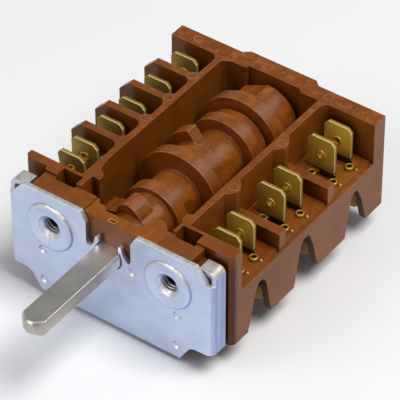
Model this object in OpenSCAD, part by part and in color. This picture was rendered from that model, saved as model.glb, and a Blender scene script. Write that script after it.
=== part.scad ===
// Oven selector switch: a moulded housing with two rows of tab terminals, a cam drum
// turned by a flatted shaft, six leaf contacts under it and a steel mounting plate.
// Millimetres. X runs to the right, Y away from the panel and Z up.
// The origin lies on the shaft axis, in the front face of the mounting plate.

/* [Housing] */
// Distance from the shaft axis to the housing's right side
right_reach = 25.3; // [25:0.1:25.8]
// Distance from the mounting plate's front face to the back of the rear wall
body_l = 56.8; // [55.6:0.2:60]
// Height of the housing's top edges above the shaft axis
body_top = 8.7; // [8.4:0.1:9.2]
// Depth of the housing's underside below the shaft axis
body_bottom = 18.6; // [18.4:0.1:20]
// Depth of the side skirts' lower edges below the shaft axis
skirt_bottom = 14; // [13.6:0.1:15]
// Thickness of the dividing ribs between the left terminals
rib_t = 1.6; // [1.2:0.1:1.8]
// Thickness of the floor that the terminals stand in
floor_t = 2; // [1.6:0.1:2.4]

/* [Mounting plate] */
// Thickness of the steel plate
plate_t = 1; // [0.8:0.1:1.2]
// Outside width over the plate's side flanges
plate_w = 48.6; // [48:0.2:49.4]
// Height of the plate's top edge above the shaft axis
plate_top = 7.9; // [7.2:0.1:8.2]
// Distance between the two fixing screws
screw_pitch = 28; // [27:0.5:29]
// Bore of the threaded collars for the fixing screws
screw_core_d = 3.4; // [3:0.1:3.6]
// Diameter of the raised bosses round the fixing screws
boss_d = 10.6; // [9.6:0.2:11.2]

/* [Shaft and drum] */
// Diameter of the shaft
shaft_d = 6; // [5.6:0.1:6]
// Size across the shaft's flat
shaft_across = 4.6; // [4.2:0.1:5]
// Length of the shaft in front of the plate
shaft_reach = 24.6; // [16:0.2:36]
// Radius of the cams' high parts
cam_high = 9.4; // [9:0.1:9.6]
// Radius of the drum's core between the cams
core_r = 5.5; // [4.8:0.1:5.8]
// Number of positions of the detent
positions = 8; // [4:4:8]

/* [Terminals] */
// Width of the tab terminals
tab_w = 6.3; // [5.8:0.1:6.5]
// Thickness of the tab terminals
tab_t = 0.8; // [0.5:0.1:0.9]
// Height of the tabs' tops above the shaft axis
tab_top = 7.1; // [6.2:0.1:8]
// Distance from the shaft axis to the middle of the right row of tabs
right_row = 17.85; // [17.6:0.05:18.2]
// Distance from the shaft axis to the middle of the left row of tabs
left_row = 18.85; // [18.4:0.05:19]

/* [Contacts] */
// Thickness of the contact leaves
leaf_t = 0.3; // [0.2:0.05:0.4]
// Width of the contact leaves
leaf_w = 3; // [2.4:0.1:3.2]
// Diameter of the contact rivets
contact_d = 2.2; // [1.8:0.1:2.4]
// Gap between an open pair of contacts
contact_gap = 0.7; // [0.5:0.1:0.8]

/* [Hidden] */
$fn = 64;
tiny = 0.01;
fit = 0.05;

// the housing's outline and its stations along Y, the rear ones moving with its length
left_margin = 1.9;
left_side = left_row + tab_w / 2 + left_margin;
wing_end = left_side + 0.65;
block_y = plate_t + fit;
block_end = 5.2;
flange_end = 8.2;
stretch = (body_l - 10) / 46.8;
function st(y) = 10 + (y - 10) * stretch;
rear_t = 3.7;
rear_y = body_l - rear_t;
floor_z = -1;
tab_root = floor_z + 0.35;
under_z = floor_z - floor_t;
nose_top = body_top - 0.7;
nose_x = 18.8;
shoulder_x = plate_w / 2 - plate_t - 0.3;
shoulder_z = 5.7;
skirt_t = 1.5;
strip_z = -1.4;

// the inner walls on both sides of the drum, thin above the floor and thick below it
wall_l = [-12.2, -10.9];
wall_r = [11.9, 13.2];
low_l = [-13.1, -10.9];
low_r = [11.5, 13.4];
rib_y = [st(19.8), st(27.5), st(35.5), st(43.8)];
rib_slope = 2.4;
divider_y = [st(21.2), st(37.6)];
divider_t = 2.1;
divider_top = 3;
divider_end = right_reach - 0.4;
floor_rib_t = 1.2;
bump_y = [st(21.9), st(38.1)];
corner_r = 1.6;
notches = [
    [[10.2, -14], [12.6, -6], [13.2, -4.4], [14, -3.7], [14.9, -3.6], [15.8, -4.2], [16.6, -5.8], [18.4, -14]],
    [[25.8, -14], [27.5, -6.6], [28.1, -4.3], [28.9, -3.6], [30.2, -3.5], [31, -4], [32.2, -6.9], [34.4, -14]],
    [[43.4, -14], [45, -7.1], [45.6, -4.6], [46.3, -3.9], [47.3, -3.9], [48, -4.7], [49.2, -7.3], [51.4, -14]]
];

// terminals: stations of the blanks' front faces, drop of the tab's top and lean of the tab
right_y = [st(13.6), st(18.1), st(28.2), st(33.8), st(45.5), st(51.3)];
left_y = [st(14), st(17.9), st(25.6), st(32.7), st(41.2), st(50.3)];
right_drop = [1.7, 1, 0.5, 0.5, 0.3, 0.7];
left_drop = [0, -0.3, 0, 0, 0, 0];
right_lean = [0, 0, 0, 0, 0, 0];
left_lean = [8.5, 5, 0, 0, 0, 0];
function row(s) = s > 0 ? right_row : left_row;
function tab_in(s) = row(s) - tab_w / 2;
function tab_out(s) = row(s) + tab_w / 2;
leg_in = right_row - tab_w / 2 - 0.4;
leg_z = -12;
foot_x = right_reach - 2.2;

// the contact chamber: levels of the leaves, the flags and the fixed contacts
hump_top = -(cam_high + 0.15);
flag_t = tab_t;
right_flag_z = -13.8;
leaf_z = right_flag_z + flag_t;
contact_h = 0.55;
free_z = leaf_z + 0.3;
left_flag_z = free_z + leaf_t + contact_h + contact_gap + contact_h;
flag_in = 6;
flag_out = -low_l[1];
contact_x = -8;
cover_t = 1.4;
cover_z = -body_bottom;
cover_top = cover_z + cover_t;
arm_low = leaf_z - 2.6;
left_arm_low = left_flag_z - 1.4;

// the drum: cams from front to rear as [front face, width]
cams = [
    [st(13.9), 2.8 * stretch], [st(22.5), 2.7 * stretch], [st(30.2), 2.5 * stretch], [st(37.1), 2.7 * stretch],
    [st(43.1), 2.6 * stretch], [st(49.6), 2.7 * stretch]
];
function cam_mid(k) = cams[k][0] + cams[k][1] / 2;
leaf_width = leaf_w * stretch;
peak_r = 5.3;
valley_r = 4.75;
scallop_r = 1.6;
star_y = 3.5;
star_w = 1.5;
arm_y = 7;
arm_w = 4.1;
arm_reach = 8.15;
front_journal_r = 4.2;
front_journal_y = 1.3;
rear_journal_r = 5.45;
rear_journal_y = rear_y - 0.2;
slot_end = rear_y + 0.9;
rear_journal_end = slot_end - fit;
bore_play = 0.05;
flat_z = shaft_across - shaft_d / 2;
shaft_end = 19;
tip_l = 1.9;
tip_r = 1.3;

// the detent plunger and its spring, in a pocket below the drum's front end
pin_y = star_y + star_w / 2;
pin_r = 1.4;
pin_tip = -(peak_r + 0.1);
pin_shoulder = -10;
stem_r = 0.7;
stem_end = -12;
pocket_r = pin_r + 0.05;
pocket_z = -15.9;
coil_r = 1.08;
wire_r = 0.2;

// the front bearing insert
insert_x = [-6.4, 10.7];
insert_z = [-7.2, 7.6];
hook_z = 5.6;
insert_y = 5.35;

// a flat shape drawn in X and Z, standing from y0 over a width w
module y_slab(y0, w)
    translate([0, y0 + w, 0])
        rotate([90, 0, 0])
            linear_extrude(w)
                children();

// a flat shape drawn in Y and Z, standing from x0 over a width w
module x_slab(x0, w)
    translate([x0, 0, 0])
        rotate([90, 0, 90])
            linear_extrude(w)
                children();

// a block between two corners
module block(a, b)
    translate(a)
        cube(b - a);

// a round on the shaft axis
module disc(y0, w, r)
    translate([0, y0 + w, 0])
        rotate([90, 0, 0])
            cylinder(h = w, r = r);

// a sector from angle a0 to a1, wide enough to cut a cam out
function sector(a0, a1, r) = concat(
    [[0, 0]],
    [for (i = [0 : ceil((a1 - a0) / 45)])
        let (a = a0 + (a1 - a0) * i / ceil((a1 - a0) / 45)) [2 * r * cos(a), 2 * r * sin(a)]]
);

// a cam with a base round and one high part
module cam(k, base, a0, a1, high)
    y_slab(cams[k][0], cams[k][1]) {
        circle(base);
        intersection() {
            circle(high);
            polygon(sector(a0, a1, high));
        }
    }

// a strip of thickness t along a line of points
function turn(p, i) =
    let (a = p[max(i - 1, 0)], b = p[min(i + 1, len(p) - 1)], d = b - a) [-d[1], d[0]] / norm(d);
function strip(p, t) = concat(
    [for (i = [0 : len(p) - 1]) p[i] + turn(p, i) * t / 2],
    [for (i = [len(p) - 1 : -1 : 0]) p[i] - turn(p, i) * t / 2]
);

// the inside corner between a wall and a rib, left round
module inner_round(x, y, sx, sy, r)
    translate([x, y, floor_z])
        linear_extrude(body_top - floor_z)
            difference() {
                polygon([[0, 0], [sx * r, 0], [sx * r, sy * r], [0, sy * r]]);
                translate([sx * r, sy * r])
                    circle(r);
            }

// HOUSING

module front_block() {
    // nose behind the plate, with shoulders that the plate's lugs are bent over
    y_slab(block_y, block_end - block_y)
        polygon([
            [-shoulder_x, -13.2], [-shoulder_x, shoulder_z], [-nose_x, shoulder_z], [-nose_x, nose_top],
            [nose_x, nose_top], [nose_x, shoulder_z], [shoulder_x, shoulder_z], [shoulder_x, -13.2],
            [15.6, -13.2], [14.6, -17], [-14.6, -17], [-15.6, -13.2]
        ]);
    // flange over the full width
    translate([0, 0, -skirt_bottom])
        linear_extrude(body_top + skirt_bottom)
            polygon([
                [-wing_end, flange_end - 0.2], [-wing_end, 6.9], [-wing_end + 0.5, 6.35], [-19.4, 6.25],
                [-18.7, block_end], [right_reach - 0.9, block_end], [right_reach, block_end + 0.9],
                [right_reach, flange_end], [-wing_end + 0.2, flange_end]
            ]);
    block([low_l[0], block_end, cover_z], [low_r[1], flange_end, -skirt_bottom + tiny]);
}

module inner_walls() {
    block([wall_l[0], flange_end - tiny, floor_z - tiny], [wall_l[1], rear_y + tiny, body_top]);
    block([wall_r[0], flange_end - tiny, floor_z - tiny], [wall_r[1], rear_y + tiny, body_top]);
    block([low_l[0], flange_end - tiny, cover_z], [low_l[1], rear_y + tiny, floor_z]);
    block([low_r[0], flange_end - tiny, cover_z], [low_r[1], rear_y + tiny, floor_z]);
    // column at the left wall's front end, beside the drum's arm
    translate([0, 0, -8])
        linear_extrude(body_top + 8)
            polygon([
                [wall_l[0] + tiny, flange_end - tiny], [-10.3, flange_end - tiny], [-10.3, 8.85], [-8.75, 8.85],
                [-8.45, 9.3], [-8.6, 10], [-9.1, 10.7], [-10, 11.2], [-10.5, 12.1], [-10.75, 14],
                [wall_l[1], 15.5], [wall_l[0] + tiny, 15.5]
            ]);
    // low stop at the right wall's front end
    translate([0, 0, floor_z - tiny])
        linear_extrude(body_top - floor_z + tiny)
            polygon([
                [wall_r[0] + tiny, flange_end - tiny], [11.6, flange_end - tiny], [10.95, 8.75], [10.9, 10.5],
                [11.8, 11.1], [wall_r[0] + tiny, 11.1]
            ]);
    // the left wall widens into the rear wall
    translate([0, 0, floor_z - tiny])
        linear_extrude(body_top - floor_z + tiny)
            polygon([
                [wall_l[1] - tiny, rear_y - 1.3], [wall_l[1], rear_y - 1.3], [-9.9, rear_y - 0.35],
                [-8.7, rear_y + tiny], [wall_l[1] - tiny, rear_y + tiny]
            ]);
    // bumps on the right wall's outer side
    for (y = bump_y)
        translate([wall_r[1], y, floor_z - tiny])
            linear_extrude(body_top - floor_z + tiny)
                polygon([[-tiny, -2.7], [1.75, -0.85], [1.75, 0.3], [1.1, 1.5], [-tiny, 2.7]]);
}

module left_ribs()
    for (y = rib_y) {
        y_slab(y, rib_t)
            polygon([
                [wall_l[0] + tiny, floor_z - tiny], [wall_l[0] + tiny, body_top],
                [-left_side + rib_slope, body_top], [-left_side, body_top - rib_slope],
                [-left_side, floor_z - tiny]
            ]);
        inner_round(wall_l[0], y, -1, -1, corner_r);
        inner_round(wall_l[0], y + rib_t, -1, 1, corner_r);
    }

module troughs() {
    // floors with the outer strips that close them
    block([-left_side, flange_end - tiny, under_z], [wall_l[0] + tiny, rear_y + tiny, floor_z]);
    block([wall_r[1] - tiny, flange_end - tiny, under_z], [right_reach - 1.1, rear_y + tiny, floor_z]);
    block([right_reach - 1.2, flange_end - tiny, under_z], [right_reach, rear_y + tiny, strip_z]);
    // low dividers of the right trough
    for (y = divider_y)
        block([wall_r[1] - tiny, y, strip_z - tiny], [divider_end, y + divider_t, divider_top]);
    inner_round(wall_l[0], rear_y, -1, -1, corner_r);
    inner_round(wall_r[1], rear_y, 1, -1, corner_r);
    // ribs that stiffen the floors from below
    for (y = divider_y) {
        block([low_r[1] - tiny, y, -skirt_bottom + 3],
            [right_reach - skirt_t + tiny, y + floor_rib_t, under_z + tiny]);
        block([-left_side + skirt_t - tiny, y, -skirt_bottom + 3],
            [low_l[0] + tiny, y + floor_rib_t, under_z + tiny]);
    }
}

module skirts()
    difference() {
        union() {
            block([right_reach - skirt_t, flange_end - tiny, -skirt_bottom],
                [right_reach, rear_y + tiny, strip_z - tiny]);
            block([-left_side, flange_end - tiny, -skirt_bottom],
                [-left_side + skirt_t, rear_y + tiny, under_z + tiny]);
        }
        for (n = notches)
            x_slab(-left_side - 1, left_side + right_reach + 2)
                polygon([for (p = n) [st(p[0]), p[1] <= -14 ? -skirt_bottom - 1 : p[1]]]);
    }

module rear_wall() {
    block([-left_side, rear_y, -skirt_bottom], [right_reach, body_l, body_top]);
    block([low_l[0], rear_y, cover_z], [low_r[1], body_l, -skirt_bottom + tiny]);
    // boss over the rear bearing
    translate([0, 0, -9])
        linear_extrude(9 + body_top)
            polygon([[-9, body_l - tiny], [-7.6, body_l + 1.15], [8.2, body_l + 1.15], [9.5, body_l - tiny]]);
}

// shallow pocket in the floor in front of each right tab
pocket_x = [17.7, 21.6];
pocket_deep = 1.3;
pocket_front = [1.75, 1.8, 1.5, 1.9, 2.2, 2.3];

module terminal_openings() {
    for (i = [0 : 5])
        block([pocket_x[0], right_y[i] - pocket_front[i], floor_z - pocket_deep],
            [pocket_x[1], right_y[i], floor_z + 1]);
    for (y = right_y) {
        block([tab_in(1) - fit, y - fit, under_z - 1], [tab_out(1) + fit, y + tab_t + fit, floor_z + 1]);
        block([low_r[0] - 1, y - fit, cover_z - 1], [low_r[1] + 1, y + tab_t + fit, leaf_z + fit]);
    }
    for (y = left_y) {
        block([-tab_out(-1) - fit, y - fit, under_z - 1], [-tab_in(-1) + fit, y + tab_t + fit, floor_z + 1]);
        block([low_l[0] - 1, y - fit, cover_z - 1], [low_l[1] + 1, y + tab_t + fit, left_flag_z + flag_t + fit]);
    }
}

module front_openings() {
    // seat of the front bearing insert, open at the top and towards the plate
    block([insert_x[0] - fit, 0, insert_z[0] - fit], [insert_x[1] + fit, insert_y + fit, body_top + 1]);
    // room for the drum's front end and its arm
    disc(block_end - tiny, flange_end - block_end + tiny, arm_reach + 0.3);
    translate([0, 0, -0.5])
        linear_extrude(body_top + 1)
            polygon([[-10.3, block_end - tiny], [11.45, block_end - tiny], [11.6, flange_end], [-10.3, flange_end]]);
    // pockets from above, behind the fixing screws, and the screws' way into them
    block([-16.2, 4.6, -3], [-11.4, 7.6, body_top + 1]);
    block([12.2, 4.6, -3], [17, 7.6, body_top + 1]);
    for (s = [-1, 1])
        translate([s * screw_pitch / 2, 0, 0])
            rotate([-90, 0, 0]) {
                cylinder(h = 3.6, r = screw_core_d / 2 + 1.2);
                cylinder(h = 6, r = screw_core_d / 2 + 0.5);
            }
    // pocket of the detent
    translate([0, pin_y, pocket_z])
        cylinder(h = -pocket_z, r = pocket_r);
}

module housing()
    color([0.5, 0.26, 0.12])
        difference() {
            union() {
                front_block();
                inner_walls();
                left_ribs();
                troughs();
                skirts();
                rear_wall();
            }
            front_openings();
            terminal_openings();
            // slot of the drum's rear bearing, open at the top
            disc(rear_y - tiny, slot_end - rear_y + tiny, rear_journal_r + bore_play);
            linear_extrude(body_top + 1)
                polygon([[-rear_journal_r - bore_play, rear_y - tiny], [7.8, rear_y - tiny], [6.7, slot_end],
                    [-rear_journal_r - bore_play, slot_end]]);
        }

// FRONT BEARING INSERT

module front_bearing()
    color([0.53, 0.28, 0.13])
        difference() {
            union() {
                block([insert_x[0], block_y, insert_z[0]], [insert_x[1], insert_y, insert_z[1]]);
                // hook that reaches back beside the drum
                translate([0, 0, hook_z])
                    linear_extrude(insert_z[1] - hook_z)
                        polygon([[5.5, insert_y - tiny], [6.4, 7.1], [7.5, 7.4], [9.4, 6.3], [9.9, insert_y - tiny]]);
                // raised pip with a hollow middle
                difference() {
                    block([-0.9, 1.3, insert_z[1] - tiny], [1, 2.4, insert_z[1] + 0.15]);
                    block([-0.55, 1.6, insert_z[1] - 0.1], [0.65, 2.1, insert_z[1] + 1]);
                }
            }
            // bearing for the drum's front journal
            disc(0, 4, front_journal_r + bore_play);
            // room for the star wheel, open at the top
            disc(star_y - 0.2, insert_y, peak_r + 0.35);
            linear_extrude(body_top)
                polygon([[-5.9, insert_y + tiny], [-5.3, 4.4], [-3.8, 4.25], [-2.9, star_y - 0.2],
                    [4.7, star_y - 0.2], [5.6, 4], [6, insert_y + tiny], [6.45, 7.2], [-5.9, 7.2]]);
            // way of the plunger
            translate([0, pin_y, -12])
                cylinder(h = 12, r = pocket_r + 0.1);
        }

// MOUNTING PLATE

plate_half = plate_w / 2;
flange_back = 4.4;
flange_bottom = -13.3;
bend_r = 1.5;
slit_out = 5.3;
lug_low = shoulder_z + 0.1;
lug_top = lug_low + plate_t;

// the plate's front outline on the right, from the middle of its top to the middle of its tongue
plate_edge = [
    [0, plate_top], [20.4, plate_top], [22.7, 5.1], [23.1, 4.2], [plate_half + 1, 4.2],
    [plate_half + 1, flange_bottom], [20.1, -13.4], [19.2, -13.8], [18.6, -14.4], [18.2, -15.2],
    [16.9, -17.2], [16.6, -17.5], [0, -17.5]
];
function mirrored(p) = [for (i = [len(p) - 1 : -1 : 0]) [-p[i][0], p[i][1]]];

module plate_opening() {
    // open notch above the shaft, with a slit down beside each ear
    polygon([
        [-6.6, plate_top + tiny], [-slit_out, 5.6], [-slit_out, 1.2], [-5, 0.4], [-4.6, 0.2], [-4.2, 0.5],
        [-3.5, 1.5], [-3.1, 3.2], [-2.8, 3.55], [-2.45, 3.5], [-2.35, 3.2], [-2.3, 0],
        [2.3, 0], [2.35, 3.2], [2.45, 3.5], [2.8, 3.55], [3.1, 3.2], [3.5, 1.5],
        [4.2, 0.5], [4.6, 0.2], [5, 0.4], [slit_out, 1.2], [slit_out, 5.6], [6.6, plate_top + tiny]
    ]);
    circle(shaft_d / 2 + 0.2);
}

// the channel that the sheet is bent to, seen from above
module channel()
    difference() {
        union() {
            polygon([[-plate_half, bend_r], [-plate_half + bend_r, 0], [plate_half - bend_r, 0],
                [plate_half, bend_r], [plate_half, flange_back], [-plate_half, flange_back]]);
            for (s = [-1, 1])
                translate([s * (plate_half - bend_r), bend_r])
                    circle(bend_r);
        }
        polygon([[-plate_half + bend_r, plate_t], [plate_half - bend_r, plate_t],
            [plate_half - plate_t, bend_r], [plate_half - plate_t, flange_back + 1],
            [-plate_half + plate_t, flange_back + 1], [-plate_half + plate_t, bend_r]]);
        for (s = [-1, 1])
            translate([s * (plate_half - bend_r), bend_r])
                circle(bend_r - plate_t);
    }

// a lug at the top of a side flange, bent in over the housing's shoulder
lug_in = 20.4;
module lug(s)
    y_slab(1.2, flange_back - 1.2)
        scale([s, 1])
            difference() {
                union() {
                    polygon([[lug_in, 3.8], [plate_half, 3.8], [plate_half, lug_top - bend_r],
                        [plate_half - bend_r, lug_top], [lug_in, lug_top]]);
                    translate([plate_half - bend_r, lug_top - bend_r])
                        circle(bend_r);
                }
                polygon([[lug_in - 1, 3.7], [plate_half - plate_t, 3.7], [plate_half - plate_t, lug_top - bend_r],
                    [plate_half - bend_r, lug_low], [lug_in - 1, lug_low]]);
                translate([plate_half - bend_r, lug_top - bend_r])
                    circle(bend_r - plate_t);
            }

// raised boss with a drawn collar, turned about the screw's axis, which points to the front
boss_r = boss_d / 2;
bead = 0.4;
core = screw_core_d / 2;
module boss_profile()
    polygon([
        [core, -plate_t - 1.5], [core, -0.7], [core + 0.35, -0.3], [core + 0.9, 0.05], [core + 1.3, 0.15],
        [boss_r - 1.3, 0.2], [boss_r - 0.95, bead], [boss_r - 0.45, bead], [boss_r - 0.15, 0.2],
        [boss_r, -0.05], [boss_r, -plate_t],
        [core + 1.1, -plate_t], [core + 0.75, -plate_t - 0.35], [core + 0.75, -plate_t - 1.5]
    ]);

module at_screws()
    for (s = [-1, 1])
        translate([s * screw_pitch / 2, 0, 0])
            rotate([90, 0, 0])
                children();

dimples = [[16.1, -6.8], [16, -14.5], [-16.1, -6.8], [-16, -14.5], [5.6, -1.4]];
module mounting_plate()
    color([0.72, 0.75, 0.8])
        difference() {
            union() {
                difference() {
                    intersection() {
                        translate([0, 0, -20])
                            linear_extrude(40)
                                channel();
                        y_slab(-1, flange_back + 2)
                            polygon(concat(plate_edge, mirrored(plate_edge)));
                    }
                    y_slab(-1, plate_t + 2)
                        plate_opening();
                    at_screws()
                        translate([0, 0, -2])
                            cylinder(h = 4, r = boss_r - 0.1);
                }
                lug(1);
                lug(-1);
                at_screws()
                    rotate_extrude()
                        boss_profile();
            }
            for (d = dimples)
                translate([d[0], 0, d[1]])
                    rotate([-90, 0, 0])
                        cylinder(h = 0.35, r1 = 1, r2 = 0.6);
        }

// SHAFT AND DRUM

module shaft_section(play)
    intersection() {
        circle(shaft_d / 2 + play);
        translate([-shaft_d, -shaft_d])
            square([2 * shaft_d, shaft_d + flat_z + play]);
    }

module shaft()
    color([0.75, 0.74, 0.71])
        intersection() {
            y_slab(-shaft_reach, shaft_reach + shaft_end)
                shaft_section(0);
            // turned round with a blunt tip
            translate([0, -shaft_reach, 0])
                rotate([-90, 0, 0]) {
                    cylinder(h = tip_l, r1 = tip_r, r2 = shaft_d / 2 + fit);
                    translate([0, 0, tip_l])
                        cylinder(h = shaft_reach + shaft_end, r = shaft_d / 2 + fit);
                }
        }

// drum's front end: star wheel, a round, a tooth at the top and an arm that points to the left at rest
module drum_front() {
    disc(front_journal_y, star_y + tiny - front_journal_y, front_journal_r);
    y_slab(star_y, star_w)
        difference() {
            circle(peak_r);
            for (i = [0 : positions - 1])
                rotate(i * 360 / positions)
                    translate([0, valley_r + scallop_r])
                        circle(scallop_r);
        }
    disc(star_y + star_w - tiny, arm_y - star_y - star_w + 2 * tiny, 5.1);
    y_slab(arm_y, arm_w) {
        circle(core_r);
        polygon([[-3.4, 3.8], [-3.1, 5.6], [-2.75, 6.2], [-2.3, 6.8], [-1.8, 7.2], [-1.2, 7.42], [-0.6, 7.45],
            [0, 7.3], [0.6, 7.05], [1.2, 6.65], [1.8, 6.05], [2.3, 5.4], [2.7, 4.7], [2, 3]]);
        // the arm, with a round end
        polygon([[-3, 4.6], [-4.6, 4.2], [-5.9, 3.7], [-6.6, -0.2], [-5, -1.5]]);
        translate([-5.9, 1.7])
            circle(2);
    }
    disc(arm_y + arm_w - tiny, cams[0][0] - arm_y - arm_w + 2 * tiny, core_r);
}

module cam_drum()
    color([0.47, 0.24, 0.11])
        difference() {
            union() {
                drum_front();
                disc(cams[0][0], rear_journal_y - cams[0][0], core_r);
                cam(0, 6.8, 210, 330, cam_high);
                cam(1, 7.35, -45, 290, cam_high);
                disc(cams[1][0], st(28.3) - cams[1][0], 7.35);
                disc(st(28.3) - tiny, cams[2][0] - st(28.3) + 2 * tiny, 6.9);
                cam(2, 6, 110, 300, cam_high);
                // slope at its upper end
                y_slab(cams[2][0], cams[2][1])
                    polygon([[-5, 5], [cam_high * cos(110), cam_high * sin(110)], [-0.75, 5.95], [-1, 4]]);
                cam(3, 8, 225, 320, cam_high);
                disc(cams[3][0], st(42.6) - cams[3][0], 7);
                cam(4, 8.5, 0, 300, cam_high);
                disc(cams[4][0], st(47.2) - cams[4][0], 8.5);
                // rear round with a flat on its upper left
                y_slab(st(47.2) - tiny, rear_journal_y - st(47.2) + tiny)
                    intersection() {
                        circle(7);
                        rotate(25.5)
                            translate([-8, -8])
                                square([16, 14.25]);
                    }
                cam(5, 6, 215, 325, cam_high);
                disc(rear_journal_y - tiny, rear_journal_end - rear_journal_y + tiny, rear_journal_r);
            }
            y_slab(0, shaft_end + fit)
                shaft_section(fit);
        }

// DETENT

module detent_plunger()
    color([0.78, 0.78, 0.8])
        translate([0, pin_y, 0]) {
            translate([0, 0, pin_tip - pin_r])
                intersection() {
                    sphere(pin_r);
                    cylinder(h = pin_r + 1, r = pin_r + 1);
                }
            translate([0, 0, pin_shoulder])
                cylinder(h = pin_tip - pin_r - pin_shoulder + tiny, r = pin_r);
            translate([0, 0, stem_end])
                cylinder(h = pin_shoulder - stem_end + tiny, r = stem_r);
        }

// wire wound from z0 to z1, with a ring of points at each step
coil_steps = 16;
coil_turns = 6;
function coil_point(i, a, z0, z1) =
    let (n = coil_steps * coil_turns, t = i * 360 / coil_steps, z = z0 + (z1 - z0) * i / n,
        r = coil_r + wire_r * cos(a)) [r * cos(t), r * sin(t), z + wire_r * sin(a)];

module coil(z0, z1) {
    sides = 8;
    n = coil_steps * coil_turns;
    points = [for (i = [0 : n], j = [0 : sides - 1]) coil_point(i, j * 360 / sides, z0, z1)];
    walls = [for (i = [0 : n - 1], j = [0 : sides - 1])
        let (k = (j + 1) % sides)
            [i * sides + j, i * sides + k, (i + 1) * sides + k, (i + 1) * sides + j]];
    ends = [[for (j = [sides - 1 : -1 : 0]) j], [for (j = [0 : sides - 1]) n * sides + j]];
    polyhedron(points = points, faces = concat(walls, ends), convexity = 10);
}

module detent_spring()
    color([0.7, 0.7, 0.72])
        translate([0, pin_y, 0])
            coil(pocket_z + wire_r + fit, pin_shoulder - wire_r - fit);

// BASE COVER

module base_cover()
    color([0.42, 0.21, 0.1]) {
        block([low_l[1] + 0.1, flange_end + 0.1, cover_z], [low_r[0] - 0.1, rear_y - 0.1, cover_top]);
        // fingers that fill the walls' slots and hold the terminals up
        for (y = right_y)
            block([low_r[0] - 0.2, y, cover_z], [low_r[1], y + tab_t, arm_low - fit]);
        for (y = left_y)
            block([low_l[0], y, cover_z], [low_l[1] + 0.2, y + tab_t, left_arm_low - fit]);
        // fins between the leaves
        for (k = [0 : 4])
            block([-5, (cam_mid(k) + cam_mid(k + 1)) / 2 - 0.6, cover_top - tiny],
                [5.5, (cam_mid(k) + cam_mid(k + 1)) / 2 + 0.6, hump_top - 0.6]);
    }

// TERMINALS

// the tab above the floor, from its foot at z = 0 up, with bevelled corners and a ringed hole
module tab(s, top, lean)
    if (lean == 0)
        y_slab(0, tab_t)
            tab_outline(s, top);
    else
        intersection() {
            y_slab(-3, tab_t + 6)
                tab_outline(s, top);
            x_slab(tab_in(s) - 1, tab_w + 2)
                polygon([[0, floor_z - 1], [tab_t, floor_z - 1], [tab_t, tab_root],
                    [tab_t - tan(lean) * (top + 1 - tab_root), top + 1],
                    [-tan(lean) * (top + 1 - tab_root), top + 1], [0, tab_root]]);
        }

module tab_outline(s, top)
    difference() {
        polygon([[tab_in(s), floor_z], [tab_in(s), top - 1], [tab_in(s) + 0.9, top], [tab_out(s) - 0.9, top],
            [tab_out(s), top - 1], [tab_out(s), floor_z]]);
        translate([row(s), top - 4])
            circle(0.65);
    }

// the blank stands across the body; s is 1 on the right and -1 on the left
module terminal(s, y, k, drop, lean)
    scale([s, 1, 1]) {
        translate([0, y, 0]) {
            tab(s, tab_top - drop, lean);
            block([tab_in(s), 0, under_z - fit - tiny], [tab_out(s), tab_t, tab_root]);
            if (s > 0) {
                y_slab(0, tab_t)
                    polygon([[leg_in, under_z - fit], [tab_out(s), under_z - fit], [tab_out(s), leg_z + 3.8],
                        [foot_x, leg_z + 3.2], [foot_x, leg_z], [foot_x - 0.6, leg_z - 0.6],
                        [leg_in + 2, leg_z - 1.5], [leg_in, arm_low],
                        [low_r[0] - 0.2, arm_low], [flag_out - 0.1, cover_top + fit], [9, cover_top + fit],
                        [9, right_flag_z], [flag_in, right_flag_z], [flag_in, leaf_z], [leg_in, leaf_z]]);
            }
            else {
                y_slab(0, tab_t)
                    polygon([[leg_in, under_z - fit], [tab_out(s), under_z - fit], [tab_out(s), leg_z + 0.8],
                        [tab_out(s) - 0.8, leg_z], [leg_in, leg_z], [leg_in, left_arm_low],
                        [flag_out + 0.1, left_arm_low], [flag_out - 0.1, left_flag_z],
                        [flag_in, left_flag_z], [flag_in, left_flag_z + flag_t],
                        [leg_in, left_flag_z + flag_t]]);
            }
        }
        terminal_flag(s, y, k);
    }

// the flag reaches along Y to the middle of its cam
module terminal_flag(s, y, k) {
    z = s > 0 ? right_flag_z : left_flag_z;
    reach = s > 0 ? leaf_width / 2 : contact_d / 2 + 0.05;
    block([flag_in, min(y, cam_mid(k) - reach), z], [flag_out - 0.2, max(y + tab_t, cam_mid(k) + reach), z + flag_t]);
    // staked pip that holds the leaf
    if (s > 0)
        translate([8, cam_mid(k), z])
            cylinder(h = flag_t + leaf_t + 0.35, r = 0.6, $fn = 32);
}

module terminal_color() color([0.8, 0.66, 0.28]) children();
module left_terminal(i) terminal_color() terminal(-1, left_y[i], i, left_drop[i], left_lean[i]);
module right_terminal(i) terminal_color() terminal(1, right_y[i], i, right_drop[i], right_lean[i]);

module terminal_left_1() left_terminal(0);
module terminal_left_2() left_terminal(1);
module terminal_left_3() left_terminal(2);
module terminal_left_4() left_terminal(3);
module terminal_left_5() left_terminal(4);
module terminal_left_6() left_terminal(5);
module terminal_right_1() right_terminal(0);
module terminal_right_2() right_terminal(1);
module terminal_right_3() right_terminal(2);
module terminal_right_4() right_terminal(3);
module terminal_right_5() right_terminal(4);
module terminal_right_6() right_terminal(5);

// CONTACTS

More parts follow.
